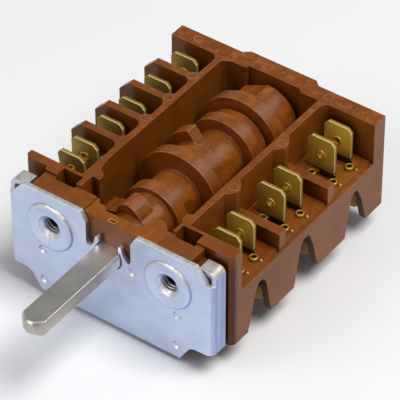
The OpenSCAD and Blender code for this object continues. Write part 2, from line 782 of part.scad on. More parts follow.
// the leaf lies on its flag, rises to a hump under the cam and falls to its free end
leaf_line = [
    [10.4, leaf_z + leaf_t / 2], [6, leaf_z + leaf_t / 2], [5.4, leaf_z + leaf_t / 2 + 0.12],
    [1.9, hump_top - leaf_t / 2 - 0.45], [1, hump_top - leaf_t / 2 - 0.1], [0, hump_top - leaf_t / 2],
    [-1, hump_top - leaf_t / 2 - 0.1], [-1.9, hump_top - leaf_t / 2 - 0.45],
    [-5.6, free_z + leaf_t / 2 + 0.12], [-6.2, free_z + leaf_t / 2], [-9.5, free_z + leaf_t / 2]
];
module leaf(k)
    color([0.78, 0.55, 0.3])
        difference() {
            y_slab(cam_mid(k) - leaf_width / 2, leaf_width)
                polygon(strip(leaf_line, leaf_t));
            translate([8, cam_mid(k), leaf_z - 1])
                cylinder(h = 3, r = 0.62, $fn = 32);
        }

// round silver contacts: one on the leaf's free end, one under the left terminal's flag
module moving_contact(k)
    color([0.86, 0.86, 0.86])
        translate([contact_x, cam_mid(k), free_z + leaf_t])
            cylinder(h = contact_h, r = contact_d / 2, $fn = 32);

module still_contact(k)
    color([0.86, 0.86, 0.86])
        translate([contact_x, cam_mid(k), left_flag_z - contact_h])
            cylinder(h = contact_h, r = contact_d / 2, $fn = 32);

module contact_spring_1() leaf(0);
module contact_spring_2() leaf(1);
module contact_spring_3() leaf(2);
module contact_spring_4() leaf(3);
module contact_spring_5() leaf(4);
module contact_spring_6() leaf(5);
module spring_contact_1() moving_contact(0);
module spring_contact_2() moving_contact(1);
module spring_contact_3() moving_contact(2);
module spring_contact_4() moving_contact(3);
module spring_contact_5() moving_contact(4);
module spring_contact_6() moving_contact(5);
module fixed_contact_1() still_contact(0);
module fixed_contact_2() still_contact(1);
module fixed_contact_3() still_contact(2);
module fixed_contact_4() still_contact(3);
module fixed_contact_5() still_contact(4);
module fixed_contact_6() still_contact(5);

housing();
front_bearing();
mounting_plate();
shaft();
cam_drum();
detent_plunger();
detent_spring();
base_cover();
terminal_left_1();
terminal_left_2();
terminal_left_3();
terminal_left_4();
terminal_left_5();
terminal_left_6();
terminal_right_1();
terminal_right_2();
terminal_right_3();
terminal_right_4();
terminal_right_5();
terminal_right_6();
contact_spring_1();
contact_spring_2();
contact_spring_3();
contact_spring_4();
contact_spring_5();
contact_spring_6();
spring_contact_1();
spring_contact_2();
spring_contact_3();
spring_contact_4();
spring_contact_5();
spring_contact_6();
fixed_contact_1();
fixed_contact_2();
fixed_contact_3();
fixed_contact_4();
fixed_contact_5();
fixed_contact_6();
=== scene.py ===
"""Finishes and small details of an oven selector switch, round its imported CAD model."""
import math
import random

import bmesh
import bpy
from mathutils import Matrix, Vector


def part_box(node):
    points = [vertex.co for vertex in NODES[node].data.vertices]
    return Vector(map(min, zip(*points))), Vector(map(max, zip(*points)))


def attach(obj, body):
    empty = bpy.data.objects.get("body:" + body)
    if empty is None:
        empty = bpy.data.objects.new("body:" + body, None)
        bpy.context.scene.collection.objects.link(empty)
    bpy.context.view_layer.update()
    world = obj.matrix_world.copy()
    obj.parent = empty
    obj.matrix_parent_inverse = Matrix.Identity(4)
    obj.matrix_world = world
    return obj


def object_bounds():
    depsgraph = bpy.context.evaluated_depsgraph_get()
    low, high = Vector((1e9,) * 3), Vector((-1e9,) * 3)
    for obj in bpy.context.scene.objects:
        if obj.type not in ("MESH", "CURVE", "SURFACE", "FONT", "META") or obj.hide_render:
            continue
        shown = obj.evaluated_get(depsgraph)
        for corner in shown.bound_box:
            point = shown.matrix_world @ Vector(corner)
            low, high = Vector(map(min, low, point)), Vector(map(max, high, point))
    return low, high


bl_info = {
    "name": "Oven selector switch",
    "version": (1, 0, 0),
    "blender": (4, 5, 0),
    "location": "View3D > Sidebar > Switch",
    "description": "Finishes and small details of an oven selector switch",
    "category": "Object",
}

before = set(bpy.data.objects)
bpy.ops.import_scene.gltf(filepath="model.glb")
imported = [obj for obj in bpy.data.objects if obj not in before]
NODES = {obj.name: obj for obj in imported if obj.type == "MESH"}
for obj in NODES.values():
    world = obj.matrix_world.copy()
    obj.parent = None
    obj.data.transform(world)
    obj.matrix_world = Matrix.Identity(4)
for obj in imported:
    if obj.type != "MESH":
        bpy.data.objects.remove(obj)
CAD_BOX = [list(corner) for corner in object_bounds()]
MM = 0.001
UP = (0, 0, 1)


# STAGE, in metres

# the camera that the photo was matched with: place, direction and focal length
CAMERA_PLACE = (0.280475, -0.358663, 0.411568)
CAMERA_AZIMUTH = math.radians(35.83)
CAMERA_ELEVATION = math.radians(41.14)
CAMERA_LENS = 290.3
SENSOR_WIDTH = 36

# the floor lies a hair below the part, so that no two faces share a plane
FLOOR_Z = CAD_BOX[0][2] - 0.00005
FLOOR_HALF = 2.5

# a wide softbox overhead, a weak one from the front left, and cards that only show in reflections:
# name, place, side, power in watts, colour, and whether it lights matt faces
LAMPS = (
    ("softbox_top", (0.32, 0.06, 0.72), 0.42, 5.9, (1.0, 0.97, 0.92), True),
    ("softbox_front", (-0.4, -0.5, 0.5), 0.4, 1.5, (1.0, 0.97, 0.94), True),
    ("card_front", (-0.1, -0.75, 0.5), 0.5, 3.4, (1.0, 0.96, 0.9), False),
    ("card_rear", (0.32, 0.52, 0.6), 0.4, 1.3, (1.0, 0.93, 0.84), False),
)
LAMP_AIM = Vector((0, 0.02, 0))

# colour and strength of the world, as it lights the part and as the camera and gloss see it
WORLD_LIGHT = ((0.86, 0.9, 1.0), 0.3)
WORLD_SEEN = ((0.9, 0.93, 1.0), 0.42)


# VALUES OF THE FINISHES, in metres

RAY_SAMPLES = 6  # of the nodes that look for edges and corners

# rounding of the edges of the pieces inside
PIN_EDGE, WIRE_EDGE, LEAF_EDGE, CONTACT_EDGE = 0.0001, 0.00005, 0.00005, 0.0001

# nodes that are mouldings, with the name of their colour, their gloss and their seed
MOULDINGS = (
    ("housing", "housing", 0.18, 0.0),
    ("front_bearing", "insert", 0.16, 11.0),
    ("base_cover", "cover", 0.24, 23.0),
)

# the places where a finish changes, each as the two ends of a ramp
REAR_Y = (30 * MM, 54 * MM)  # the housing's top is rubbed more towards its rear
TROUGH_X = (14 * MM, 16 * MM)  # the right trough's cross faces lie in its shade
NOTCH_Z = (-4 * MM, -2 * MM)  # painted shade on the skirts' notches, which lie below this
FLANGE_X = (23 * MM, 23.2 * MM)  # painted shade on the skirt beside the plate's right flange
FLANGE_Y = (6.6 * MM, 7 * MM)
FLANGE_Z = (5 * MM, 7.5 * MM)
BORE_R = (1.75 * MM, 1.95 * MM)  # the collars' bores, from the screws' axes
SHAFT_Y = (-7 * MM, -2 * MM)  # a painted highlight brightens the shaft towards the plate
SHEAR_DEPTH = (0.22 * MM, 0.42 * MM)  # a tab's edge is torn and dark behind this
TAB_LOW_Z = (-0.6 * MM, 1.6 * MM)  # painted reflection of the floor darkens a tab's face near it
TAB_SUNK_Z = (-0.9 * MM, -0.7 * MM)  # painted shade darkens a tab below the floor
TAB_SLOT_Z = (-3.4 * MM, -2.8 * MM)  # and darkest in its slot, down to here
TAB_FOOT_Z = (-9.6 * MM, -8.9 * MM)  # its leg's end stands out below the cover


# SIZES AND PLACES OF THE SMALL PIECES, in millimetres

SCREW_X = 14  # the two screws, on either side of the shaft
DOME_TOP = 0.08  # the flat top of a low round pip, as a share of its radius

# rings of the ejector pins: place and radius, then the ring's section from that radius
EJECTOR_MARKS = (
    (13.6, 22.0, 1.0), (13.6, 38.1, 1.0), (-12.4, 28.8, 1.05), (-12.5, 36.6, 1.05),
    (-12.6, 44.8, 1.05), (13.1, 55.0, 0.9), (-18.5, 55.0, 0.9),
)
EJECTOR_SECTION = ((-0.1, -0.02), (-0.07, 0.05), (0.0, 0.07), (0.07, 0.05), (0.1, -0.02))

# grains of flash: the middle of a patch, half its length along Y, and how many
BURR_PATCHES = (
    (12.9, 29.2, 2.2, 9), (12.4, 14.4, 1.7, 8), (-11.4, 24.9, 0.4, 4), (-11.9, 14.6, 0.9, 5),
)
BURR_HALF_WIDTH = 0.5
BURR_RADII = (0.08, 0.2)
BURR_HEIGHT = 0.8  # as a share of its radius
BURR_SEED = 11

# the small frame on the front bearing: its sides along X and Y, outside and inside
PIP_OUTER, PIP_INNER = (-0.75, 1.1, 1.0, 1.95), (-0.6, 0.95, 1.15, 1.8)
PIP_LEVELS = ((PIP_OUTER, -0.05), (PIP_OUTER, 0.14), (PIP_INNER, 0.14), (PIP_INNER, 0.02))
PIP_SLOT_LEVELS = (-0.05, 0.04)
PIP_ROUNDING = 0.03

# the bead round a boss: the radius of its middle, and its section from there
BEAD_R = 5.0
BEAD_SECTION = (
    (-2.4, 0.0), (-2.3, 0.17), (-1.5, 0.26), (-0.6, 0.44), (-0.1, 0.52),
    (0.2, 0.46), (0.4, 0.28), (0.5, 0.04), (0.52, -0.1),
)

# the thread in a collar: its radii, half its width at the foot and at the crest,
# where it starts along Y, its turns and the steps of one turn
THREAD_ROOT, THREAD_CREST = 1.72, 1.5
THREAD_FOOT_HALF, THREAD_CREST_HALF = 0.3, 0.05
THREAD_START, THREAD_TURNS, THREAD_STEPS = 0.75, 2.5, 36
THREAD_SUNK = 0.02  # how far the ridge reaches into the wall
THREAD_RUN_OUT = 3  # it grows and shrinks over one third of a turn

# the tabs from the front: place along Y, drop of the top and the hole, lean in degrees,
# how far the eyelets stand in front of the tab, and brightness, which is painted light and
# shade: darker left tabs, brighter right ones
LEFT_TABS = (
    (14.0, 0.0, 8.5, 0.0, 0.5), (17.9, -0.3, 5.0, 0.0, 0.62), (25.6, 0.0, 0.0, 0.0, 0.5),
    (32.7, 0.0, 0.0, 0.0, 0.5), (41.2, 0.0, 0.0, 0.0, 0.5), (50.3, 0.0, 0.0, 0.0, 0.5),
)
RIGHT_TABS = (
    (13.6, 1.7, 0.0, 1.75, 1.0), (18.1, 1.0, 0.0, 1.8, 1.1), (28.2, 0.5, 0.0, 1.5, 0.95),
    (33.8, 0.5, 0.0, 1.9, 1.0), (45.5, 0.3, 0.0, 2.2, 1.1), (51.3, 0.7, 0.0, 2.3, 1.5),
)
TAB_ROWS = (("left", -18.85, LEFT_TABS), ("right", 17.85, RIGHT_TABS))
TAB_THICKNESS = 0.8
TAB_ROOT = -0.65  # the height that a tab leans from
HOLE_Z = 3.1
RIM_FRONT, RIM_BACK = 0.17, 0.08  # how high a hole's rim stands on either face
TAB_SEED = 5

# the tubular eyelets and pips of a foot: an eyelet's section, and for each eyelet its X,
# the X of its pip and the pip's shift in Y
FLOOR_TOP = -1.0
EYELET_SECTION = (
    (0.54, -0.6), (0.54, 0.5), (0.6, 0.7), (0.7, 0.78),
    (0.82, 0.74), (0.9, 0.6), (0.92, 0.4), (0.9, -0.6),
)
EYELETS = ((22.3, 23.7, 0.45), (17.2, 16.2, -0.1))
PIP_RADIUS, PIP_HEIGHT = 0.38, 0.42


# SHADER MATHS


class Value:
    """A number that a node gives, with arithmetic that adds Math nodes."""

    def __init__(self, graph, socket):
        self.graph, self.socket = graph, socket

    def math(self, operation, *others, clamp=False):
        settings = {"operation": operation, "use_clamp": clamp}
        values = dict(enumerate((self,) + others))
        return self.graph.add("ShaderNodeMath", settings, values).out()

    def __add__(self, other):
        return self.math("ADD", other)

    def __sub__(self, other):
        return self.math("SUBTRACT", other)

    def __mul__(self, other):
        return self.math("MULTIPLY", other)

    def __pow__(self, other):
        return self.math("POWER", other)

    def __rsub__(self, other):
        return self.graph.add("ShaderNodeMath", {"operation": "SUBTRACT"}, {0: other, 1: self}).out()

    __radd__, __rmul__ = __add__, __mul__

    def between(self, low, high):
        """0 below low, 1 above high and a ramp between."""
        return (self - low).math("MULTIPLY", 1 / (high - low), clamp=True)


class Made:
    """A node that was added, and its output sockets by name or number."""

    def __init__(self, graph, node):
        self.graph, self.node = graph, node

    def out(self, name=0):
        return Value(self.graph, self.node.outputs[name])


class Graph:
    """The node tree of the world or of a material."""

    def __init__(self, owner):
        owner.use_nodes = True
        self.owner, self.tree = owner, owner.node_tree
        self.tree.nodes.clear()

    def add(self, kind, settings=None, values=None):
        """One node: its settings first, then the values or links of its sockets."""
        node = self.tree.nodes.new(kind)
        for key, setting in (settings or {}).items():
            setattr(node, key, setting)
        for key, value in (values or {}).items():
            socket = node.inputs[key]
            if isinstance(value, Value):
                self.tree.links.new(value.socket, socket)
            elif socket.type == "RGBA":
                socket.default_value = (*value, 1)
            else:
                socket.default_value = value
        return Made(self, node)


class Finish(Graph):
    """The node tree of one material, with the patterns and masks that the finishes share."""

    def __init__(self, name):
        super().__init__(bpy.data.materials.new(name))
        self.place = self.add("ShaderNodeTexCoord").out("Object")

    def noise(self, scale, detail=3.0, rough=0.5, stretch=None, seed=0.0):
        """Noise with features of about 1/scale metres, in 0 to 1.

        An axis with a low value in stretch has long features.
        """
        place = self.place
        if stretch:
            place = self.add("ShaderNodeMapping", {}, {"Vector": place, "Scale": stretch}).out()
        values = {"Vector": place, "W": seed, "Scale": scale, "Detail": detail, "Roughness": rough}
        return self.add("ShaderNodeTexNoise", {"noise_dimensions": "4D"}, values).out()

    def dots(self, scale, inner, outer, seed):
        """1 on round dots about scattered points, which fade from inner to outer radius."""
        values = {"Vector": self.place, "W": seed, "Scale": scale}
        cells = self.add("ShaderNodeTexVoronoi", {"voronoi_dimensions": "4D"}, values)
        return 1 - cells.out("Distance").between(inner, outer)

    def mix(self, factor, low, high):
        """A colour between two colours."""
        return self.add("ShaderNodeMix", {"data_type": "RGBA"}, {0: factor, 6: low, 7: high}).out(2)

    def edges(self, radius):
        """1 along sharp edges and 0 on open faces, with the rounded normal itself."""
        rounded = self.add("ShaderNodeBevel", {"samples": RAY_SAMPLES}, {"Radius": radius}).out()
        flat = self.add("ShaderNodeNewGeometry").out("Normal")
        dot = self.add("ShaderNodeVectorMath", {"operation": "DOT_PRODUCT"}, {0: rounded, 1: flat})
        return (1 - dot.out("Value")).between(0.005, 0.2), rounded

    def creases(self, reach):
        """1 deep in narrow corners and 0 on open faces."""
        settings, values = {"samples": RAY_SAMPLES}, {"Distance": reach}
        open_share = self.add("ShaderNodeAmbientOcclusion", settings, values).out("AO")
        return 1 - open_share.between(0.35, 0.85)

    def axis(self, vector, name):
        """One axis of a vector, X, Y or Z."""
        return self.add("ShaderNodeSeparateXYZ", {}, {0: vector}).out(name)

    def facing(self, name):
        """How far a face looks along X, Y or Z, from -1 to 1."""
        return self.axis(self.add("ShaderNodeNewGeometry").out("Normal"), name)

    def along(self, name):
        """The place along X, Y or Z in metres."""
        return self.axis(self.place, name)

    def height(self, value, distance, normal):
        """A bump of the given depth in metres over a value of 0 to 1."""
        values = {"Height": value, "Distance": distance, "Normal": normal}
        return self.add("ShaderNodeBump", {}, values).out()

    def surface(self, values):
        """The finished material, from the values of its sockets."""
        shader = self.add("ShaderNodeBsdfPrincipled", {}, values)
        self.add("ShaderNodeOutputMaterial", {}, {"Surface": shader.out()})
        return self.owner


def lighter(colour, share):
    """A colour towards white."""
    return tuple(c + (1 - c) * share for c in colour)


def scaled(colour, *shares):
    """A colour times one share, or times one for each channel, so that its hue can drift."""
    return tuple(min(1.0, c * s) for c, s in zip(colour, shares * 3 if len(shares) == 1 else shares))


# FINISHES


def moulded(name, base, gloss, edge_radius, seed, shine=0.2, drift=0.0, glow=0.08):
    """Brown thermoset: cloudy flow, pale filler specks, fine skin grain, paler edges that are
    partly worn and partly a painted highlight.

    Gloss is the lowest roughness, shine the specular level and glow the share of light that
    goes in and out again. Above 0, drift gives the drum its patches, paler painted highlights on
    its edges, and painted light that makes its front faces redder and lighter. At 0, painted shade
    makes darker instead the faces that look forward in the trough and the notches, and the skirt
    beside the plate's flange.
    """
    g = Finish(name)
    edge, rounded = g.edges(edge_radius)
    cloud = g.noise(140, 4, 0.55, seed=seed)
    flow = g.noise(420, 3, 0.6, (1, 0.25, 1), seed + 3)
    grain = g.noise(5200, 2, 0.6, seed=seed + 7)
    specks = g.dots(1500, 0.1, 0.2, seed + 1) * g.noise(700, 1, 0.5, seed=seed + 5).between(0.5, 0.62)
    thin, thick = scaled(base, 0.8, 0.76, 0.72), scaled(base, 1.16, 1.2, 1.3)
    colour = g.mix(cloud.between(0.3, 0.72), thin, thick)
    colour = g.mix(flow.between(0.42, 0.7) * 0.45, colour, scaled(base, 0.66, 0.6, 0.6))
    if drift:
        patch = g.noise(260, 5, 0.7, (1, 0.6, 1), seed + 12)
        pale, dark = patch.between(0.5, 0.62), 1 - patch.between(0.36, 0.46)
        colour = g.mix(pale * drift, colour, scaled(base, 1.6, 1.62, 2.6))
        colour = g.mix(dark * drift, colour, scaled(base, 0.5, 0.42, 0.3))
        cloud = cloud + patch.between(0.45, 0.6) * (2.5 * drift)
    filler = scaled(lighter(base, 0.3 + drift * 0.3), 1, 0.85, 0.7)
    colour = g.mix(specks * (0.35 + drift * 0.6), colour, filler)

    # painted shade in corners; forward faces: painted shade on the housing, painted light on the drum
    shade = g.creases(0.0024)
    front = 1 - g.facing("Y").between(-0.9, -0.6)
    colour = g.mix(shade * 0.5, colour, scaled(base, 0.42, 0.28, 0.1))
    if drift:
        # painted light: the drum's forward faces redder and lighter
        colour = g.mix(front * 0.35, colour, scaled(base, 1.5, 1.0, 0.9))
    else:
        # painted shade: forward faces in the trough, the notches and the skirt beside the flange
        trough = g.along("X").between(*TROUGH_X) * 0.55 + 0.3
        colour = g.mix(front * g.creases(0.009) * trough, colour, scaled(base, 0.22, 0.1, 0.03))
        notch = front * (1 - g.along("Z").between(*NOTCH_Z)) * 0.75
        flange = g.along("X").between(*FLANGE_X) * (1 - g.along("Y").between(*FLANGE_Y))
        flange = flange * (1 - g.along("Z").between(*FLANGE_Z)) * 0.65
        colour = g.mix(notch.math("MAXIMUM", flange), colour, scaled(base, 0.2, 0.16, 0.5))

    # wear: rubbed tops and chips; paler edges, partly worn and partly a painted highlight
    chips = g.dots(620, 0.035, 0.06, seed + 9) * g.noise(160, 1, 0.5, seed=seed + 6).between(0.5, 0.56)
    rubbed = g.facing("Z").between(0.9, 0.98) * g.noise(620, 4, 0.72, seed=seed + 16).between(0.5, 0.6)
    rubbed = rubbed * (1 - shade) * (g.along("Y").between(*REAR_Y) * 0.3 + 0.12)
    colour = g.mix(rubbed, colour, scaled(base, 1.9, 2.5, 6.0))
    worn_and_highlit = edge * (g.noise(520, 2, 0.6, seed=seed + 14).between(0.4, 0.6) * 0.55 + 0.35)
    colour = g.mix(worn_and_highlit, colour, scaled(base, 2.4 + drift * 1.2, 3.5 + drift * 3.5, 9 + drift * 24))
    colour = g.mix(chips * 0.8, colour, scaled(lighter(base, 0.3), 1.1, 0.86, 0.6))
    return g.surface({
        "Base Color": colour,
        "Roughness": gloss + grain * 0.08 + cloud * 0.07 - edge * 0.05,
        "Normal": g.height(grain, 0.00001, rounded),
        "IOR": 1.5,
        "Specular IOR Level": shine,
        "Subsurface Weight": glow,
        "Subsurface Radius": (1.0, 0.3, 0.06),
        "Subsurface Scale": 0.0015,
    })


def zinc_sheet(name, base, edge_radius):
    """Rolled and zinc-plated steel: faint rolling lines, soft blotches, scuffs, bright cut edges
    that are partly a painted highlight.

    Painted reflection and shade make its sides and undersides darker and bluer, and a painted highlight
    makes its bent lugs warmer; the lugs are stained too.
    """
    g = Finish(name)
    edge, rounded = g.edges(edge_radius)
    lines = g.noise(2600, 2, 0.6, (0.03, 1, 1))
    blotch = g.noise(210, 4, 0.6, seed=2)
    grain = g.noise(7000, 2, 0.6, seed=4)
    scuff = g.noise(900, 4, 0.72, (1, 1, 0.14), 9).between(0.62, 0.72)
    cool, warm = scaled(base, 0.86, 0.88, 0.93), scaled(base, 1.1, 1.08, 1.05)
    colour = g.mix(blotch.between(0.3, 0.75), cool, warm)
    colour = g.mix(lines.between(0.35, 0.7) * 0.25, colour, scaled(base, 0.8, 0.82, 0.86))

    # painted reflection and shade on the sides and undersides, the sides in bands partly from
    # draw marks; a painted highlight and stains on the bent lugs
    side = g.facing("X").math("ABSOLUTE").between(0.5, 0.95)
    drawn = g.noise(1500, 3, 0.6, (1, 1, 0.03), 12).between(0.36, 0.62)
    colour = g.mix(side * (drawn * 0.6 + 0.3), colour, scaled(base, 0.36, 0.45, 0.72))
    under = 1 - g.facing("Z").between(-0.4, -0.1)
    colour = g.mix(under * 0.7, colour, scaled(base, 0.36, 0.46, 0.78))
    bent = g.facing("Z").between(0.22, 0.5)
    stain = bent * g.noise(620, 4, 0.65, (1, 0.6, 1), 6).between(0.42, 0.6)
    colour = g.mix(bent * 0.85, colour, scaled(base, 1.3, 1.14, 0.84))
    colour = g.mix(stain * 0.6, colour, scaled(base, 0.5, 0.42, 0.28))

    # painted shade in the corners, darker bores, and wear: paler scuffs and edges, the edges
    # partly a painted highlight
    colour = g.mix(g.creases(0.0006) * 0.6, colour, scaled(base, 0.2, 0.25, 0.42))
    across, up = g.along("X").math("ABSOLUTE") - SCREW_X * MM, g.along("Z")
    bore = 1 - ((across * across + up * up) ** 0.5).between(*BORE_R)
    colour = g.mix(bore * 0.75, colour, scaled(base, 0.3, 0.26, 0.2))
    colour = g.mix(scuff * 0.35 + edge * 0.8, colour, scaled(lighter(base, 0.6), 1, 0.95, 0.86))
    return g.surface({
        "Base Color": colour,
        "Roughness": 0.34 + blotch * 0.14 + grain * 0.1 - scuff * 0.08 - edge * 0.06 + stain * 0.12,
        "Normal": g.height(lines * 0.6 + grain * 0.4, 0.000006, rounded),
        "Metallic": 0.92,
    })


def drawn_bar(name, base, edge_radius, gloss=0.3, stretch=(1, 0.02, 1), bright=0.0):
    """Drawn steel bar: fine lines along it, a few nicks, bright edges that are partly a painted
    highlight, and a painted highlight towards the plate by the share bright.
    """
    g = Finish(name)
    edge, rounded = g.edges(edge_radius)
    lines = g.noise(5200, 3, 0.65, stretch)
    blotch = g.noise(260, 4, 0.6, seed=3)
    nicks = g.dots(480, 0.05, 0.1, 6)
    colour = g.mix(blotch.between(0.3, 0.7), scaled(base, 0.88), scaled(base, 1.1))
    colour = g.mix(lines.between(0.4, 0.7) * 0.3, colour, scaled(base, 0.78, 0.77, 0.76))
    painted_highlight = scaled(lighter(base, 0.8), 1, 0.97, 0.92)
    colour = g.mix(g.along("Y").between(*SHAFT_Y) * bright, colour, painted_highlight)
    # bright edges and nicks, the edges partly a painted highlight
    colour = g.mix(edge + nicks * 0.2, colour, scaled(lighter(base, 0.75), 1, 0.96, 0.9))
    return g.surface({
        "Base Color": colour,
        "Roughness": gloss + lines * 0.12 + blotch * 0.08 - edge * 0.08,
        "Normal": g.height(lines - nicks * 0.5, 0.000005, rounded),
        "Metallic": 1.0,
    })


def rolled_brass(name, base, edge_radius, tarnish, seed, crease_shade=0.0, sheared=None, front=0.0, lean=0.0):
    """Rolled brass strip: lines along it, olive tarnish, bright nicks and edges, painted shade in
    corners.

    A tab gives the colour of its sheared edges, which shine only near its front face. That face
    crosses Z = 0 at the place front along Y, and it leans by an angle in radians. A tab also gets
    a painted reflection of the floor low on its face, and painted shade below the floor.
    """
    g = Finish(name)
    edge, rounded = g.edges(edge_radius)
    lines = g.noise(3600, 2, 0.6, (1, 1, 0.05), seed)
    blotch = g.noise(330, 5, 0.62, seed=seed + 2)
    spots = g.noise(1500, 3, 0.6, seed=seed + 4).between(0.6, 0.7)
    nicks = g.dots(1700, 0.07, 0.13, seed + 6) * g.noise(420, 1, 0.5, seed=seed).between(0.5, 0.58)
    dull = (blotch.between(0.38, 0.66) * tarnish).math("ADD", spots * 0.25, clamp=True)
    colour = g.mix(dull, base, scaled(base, 0.52, 0.56, 0.5))
    colour = g.mix(lines.between(0.4, 0.75) * 0.25, colour, scaled(base, 0.8, 0.78, 0.7))
    colour = g.mix(edge * 0.6 + nicks * 0.75, colour, scaled(lighter(base, 0.55), 1, 0.96, 0.8))
    rough = 0.36 + dull * 0.18 + lines * 0.1 - edge * 0.06
    metal = 0.66 - dull * 0.2
    # painted shade, near black, in the corners
    if crease_shade:
        colour = g.mix(g.creases(0.0016) * crease_shade, colour, scaled(base, 0.08, 0.05, 0.03))
    if sheared:
        up = g.along("Z")
        cut = (1 - g.facing("Y").math("ABSOLUTE")).between(0.3, 0.7)
        torn = (g.along("Y") + up * math.tan(lean) - front).between(*SHEAR_DEPTH)
        colour = g.mix(cut * 0.85, colour, g.mix(torn, sheared, scaled(sheared, 0.3, 0.25, 0.14)))
        # painted reflection of the floor low on a tab, painted shade below it, near black in its slot
        low, sunk, foot = (1 - up.between(*ends) for ends in (TAB_LOW_Z, TAB_SUNK_Z, TAB_FOOT_Z))
        slot = sunk * up.between(*TAB_SLOT_Z)
        grime = g.noise(520, 3, 0.55, seed=seed + 8).between(0.32, 0.62)
        colour = g.mix(low * (1 - cut) * 0.5, colour, scaled(base, 0.4, 0.27, 0.2))
        colour = g.mix(sunk * 0.8, colour, scaled(base, 0.22, 0.18, 0.15))
        colour = g.mix(slot * 0.75, colour, (0.008, 0.005, 0.002))
        # the leg's end below the cover keeps a paler brass, out of the painted shade
        colour = g.mix(foot * (grime * 0.35 + 0.4), colour, scaled(lighter(base, 0.15), 0.9, 0.82, 0.9))
        colour = g.mix(sunk * (1 - foot) * 0.45, colour, (0.01, 0.008, 0.006))
        rough = rough + cut * 0.14
        metal = metal - cut * 0.25
    return g.surface({
        "Base Color": colour,
        "Roughness": rough,
        "Normal": g.height(lines + spots * 0.4 - nicks * 0.5, 0.000008, rounded),
        "Metallic": metal,
    })


def silver(name, base):
    """Pressed silver contact: a grey bloom, fine wear and paler edges."""
    g = Finish(name)
    edge, rounded = g.edges(CONTACT_EDGE)
    bloom = g.noise(1300, 4, 0.6)
    colour = g.mix(bloom.between(0.4, 0.7), base, scaled(base, 0.7, 0.69, 0.66))
    colour = g.mix(edge * 0.5, colour, lighter(base, 0.4))
    return g.surface({
        "Base Color": colour,
        "Roughness": 0.2 + bloom * 0.2,
        "Normal": g.height(g.noise(6000, 2), 0.000004, rounded),
        "Metallic": 1.0,
    })


def floor_finish(name, base):
    """Pale matt floor that keeps its colour and the object's shadow."""
    g = Finish(name)
    colour = g.mix(g.noise(14, 3, 0.5), scaled(base, 0.985), base)
    return g.surface({"Base Color": colour, "Roughness": 0.6, "Specular IOR Level": 0.25})


def dress(names, material):
    """Give CAD nodes a material in every slot."""
    for name in names:
        data = NODES[name].data
        if not data.materials:
            data.materials.append(material)
        for i in range(len(data.materials)):
            data.materials[i] = material


def numbered(stem):
    """The six nodes that share a stem."""
    return [f"{stem}_{i}" for i in range(1, 7)]


# MESHES, from sizes in millimetres


def mm(*values):
    """A point from millimetres."""
    return Vector(values) * MM


def as_object(name, mesh, body, material, smooth=30):
    """A finished bmesh as a piece that rides on a body."""
    data = bpy.data.meshes.new(name)
    bmesh.ops.recalc_face_normals(mesh, faces=mesh.faces[:])
    mesh.to_mesh(data)
    mesh.free()
    piece = bpy.data.objects.new(name, data)
    bpy.context.scene.collection.objects.link(piece)
    data.materials.append(material)
    data.shade_smooth()
    data.set_sharp_from_angle(angle=math.radians(smooth))
    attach(piece, body)
    return piece


def bridge(mesh, rows):
    """Faces between rows of vertices that have the same count."""
    count = len(rows[0])
    for low, high in zip(rows, rows[1:]):
        for i in range(count):
            k = (i + 1) % count
            mesh.faces.new((low[i], low[k], high[k], high[i]))


def loft(mesh, rings):
    """A closed body over rings of points, with a face at each end."""
    rows = [[mesh.verts.new(point) for point in ring] for ring in rings]
    bridge(mesh, rows)
    mesh.faces.new(rows[0])
    mesh.faces.new(rows[-1][::-1])


def spokes(axis, steps):
    """An axis of length 1, and as many directions as there are steps all round it."""
    axis = Vector(axis).normalized()
    side = axis.orthogonal().normalized()
    other = axis.cross(side)
    turns = (2 * math.pi * i / steps for i in range(steps))
    return axis, [side * math.cos(turn) + other * math.sin(turn) for turn in turns]


def turned(mesh, centre, axis, section, steps):
    """A ring-shaped body: a closed section of radius and height turned about an axis."""
    axis, outs = spokes(axis, steps)
    section = [(r * MM, h * MM) for r, h in section]
    rows = [[mesh.verts.new(centre + out * r + axis * h) for r, h in section] for out in outs]
    bridge(mesh, rows + rows[:1])


def dome(mesh, centre, radius, height, steps, rows):
    """A low round pip that stands on a level face, with a small flat top."""
    up, outs = spokes(UP, steps)
    rings = []
    for j in range(rows + 1):
        tilt = math.pi / 2 * j / rows
        r = radius * MM * (math.cos(tilt) if j < rows else DOME_TOP)
        rise = up * (height * MM) * math.sin(tilt)
        rings.append([centre + out * r + rise for out in outs])
    loft(mesh, rings)


def rectangle(sides, z):
    """The corners of a level rectangle, from its sides along X and Y."""
    x0, x1, y0, y1 = sides
    return [mm(x, y, z) for x, y in ((x0, y0), (x1, y0), (x1, y1), (x0, y1))]


def top_of(node):
    """The height of a node's top."""
    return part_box(node)[1].z / MM


# SIZES AND COLOURS


def colour_choice(name, description, default):
    return bpy.props.FloatVectorProperty(
        name=name, description=description, default=default, subtype="COLOR", size=3, min=0, max=1
    )


def length_choice(name, description, default):
    return bpy.props.FloatProperty(
        name=name, description=description, default=default, unit="LENGTH", min=0, precision=5
    )


